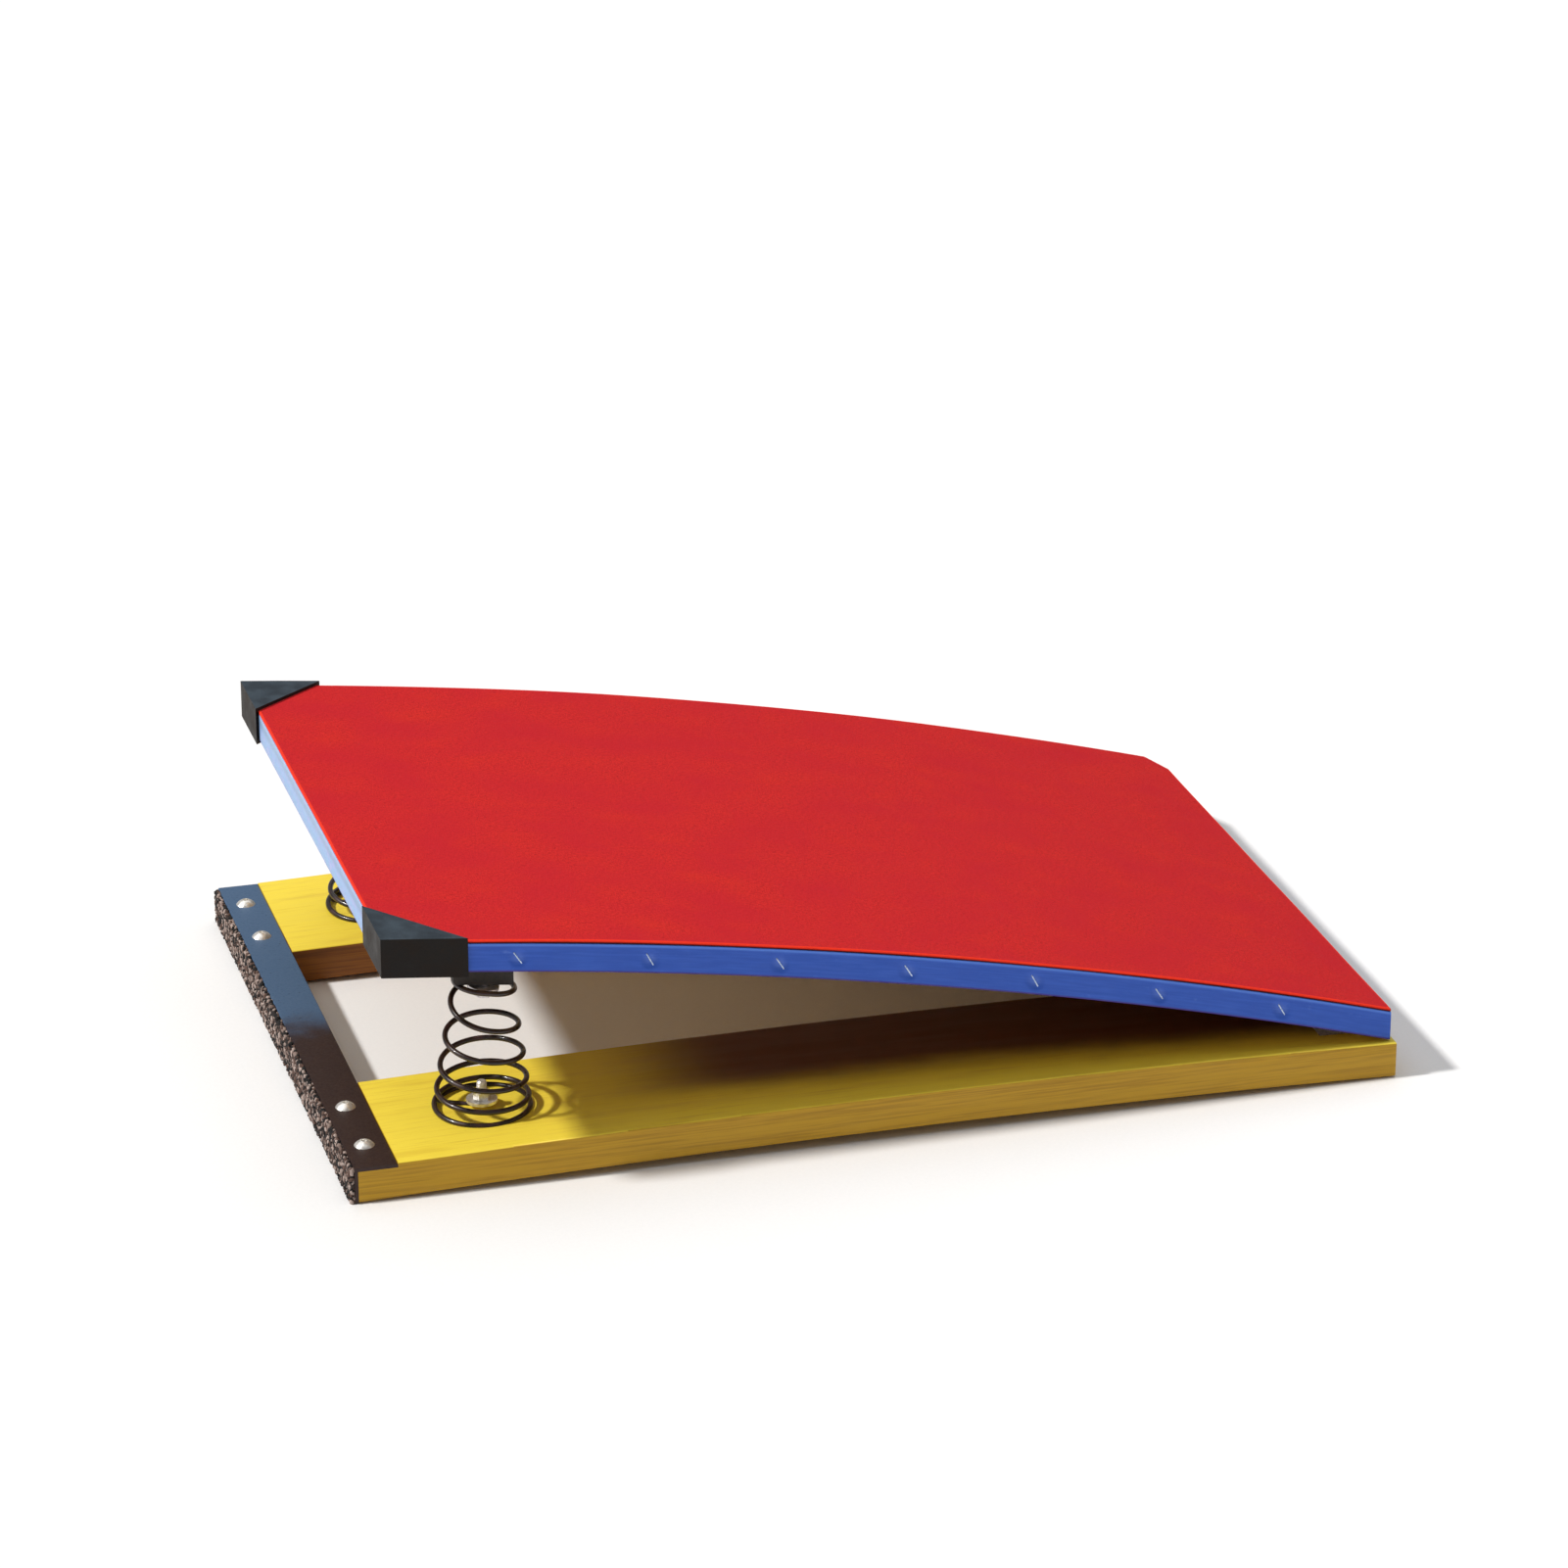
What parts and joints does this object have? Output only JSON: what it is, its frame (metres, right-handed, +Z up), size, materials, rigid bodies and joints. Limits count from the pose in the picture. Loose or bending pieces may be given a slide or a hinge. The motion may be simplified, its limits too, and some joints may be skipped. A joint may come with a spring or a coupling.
{
  "type": "vaulting springboard",
  "caption": "Gymnastics vaulting springboard: a curved, padded, carpeted board hinged at its low end on a two-rail wooden frame and held up by conical springs.",
  "frame": {"origin": "on the floor, under the middle of the frame", "axes": "+X along the board from the sprung high end to the hinged low end, +Y across it, +Z up"},
  "size_m": [0.9, 0.6, 0.2287],
  "materials": {
    "yellow_painted_wood": "glossy yellow enamel over softwood, grain showing through",
    "blued_steel_angle": "heat-blued mild steel, blue at the far end and brown-black at the near end",
    "granulate_rubber": "rough bonded crumb rubber",
    "black_rubber": "plain black rubber",
    "nickel_plated_steel": "bright nickel plate",
    "zinc_plated_steel": "bright zinc plate, slightly dulled",
    "black_spring_steel": "oil-blackened spring wire",
    "birch_plywood": "clear-lacquered birch plywood",
    "grey_foam": "closed-cell foam",
    "red_carpet": "dense needle-felt carpet",
    "blue_vinyl": "coated vinyl cloth with a fine grain",
    "staple_wire": "galvanised wire",
    "black_moulded_plastic": "moulded black plastic, faintly textured",
    "black_stained_wood": "black-stained hardwood"
  },
  "bodies": {
    "base_frame": {"near_rail": "yellow_painted_wood", "far_rail": "yellow_painted_wood", "front_angle": "blued_steel_angle", "front_grip_strip": "granulate_rubber", "front_angle_bolts": "nickel_plated_steel", "front_angle_washers": "zinc_plated_steel", "front_angle_nuts": "zinc_plated_steel", "rear_batten": "yellow_painted_wood", "rear_brackets": "zinc_plated_steel", "rear_bracket_screws": "zinc_plated_steel", "rubber_feet": "black_rubber", "near_spring": "black_spring_steel", "far_spring": "black_spring_steel", "spring_base_bolts": "nickel_plated_steel", "spring_base_washers": "nickel_plated_steel", "spring_base_nuts": "nickel_plated_steel", "hinge_rail_leaves": "zinc_plated_steel", "hinge_pins": "zinc_plated_steel", "hinge_rail_screws": "zinc_plated_steel"},
    "board": {"board_panel": "birch_plywood", "foam_layer": "grey_foam", "carpet_cover": "red_carpet", "near_edge_band": "blue_vinyl", "far_edge_band": "blue_vinyl", "high_end_band": "blue_vinyl", "low_end_band": "blue_vinyl", "near_staples": "staple_wire", "far_staples": "staple_wire", "near_corner_guard": "black_moulded_plastic", "far_corner_guard": "black_moulded_plastic", "corner_guard_screws": "zinc_plated_steel", "spring_crossbar": "black_stained_wood", "crossbar_screws": "zinc_plated_steel", "spring_top_washers": "zinc_plated_steel", "spring_top_bolts": "zinc_plated_steel", "hinge_board_leaves": "zinc_plated_steel", "hinge_board_screws": "zinc_plated_steel"}
  },
  "joints": [
    {"name": "board_hinge", "type": "hinge", "parent": "base_frame", "child": "board", "pos_m": [0.43, 0, 0.0348], "axis": [0, -1, 0], "range_deg": [0, 5.5], "stiffness_Nm_per_rad": 17000, "springref_deg": -0.34, "deforming": ["near_spring", "far_spring"]}
  ]
}
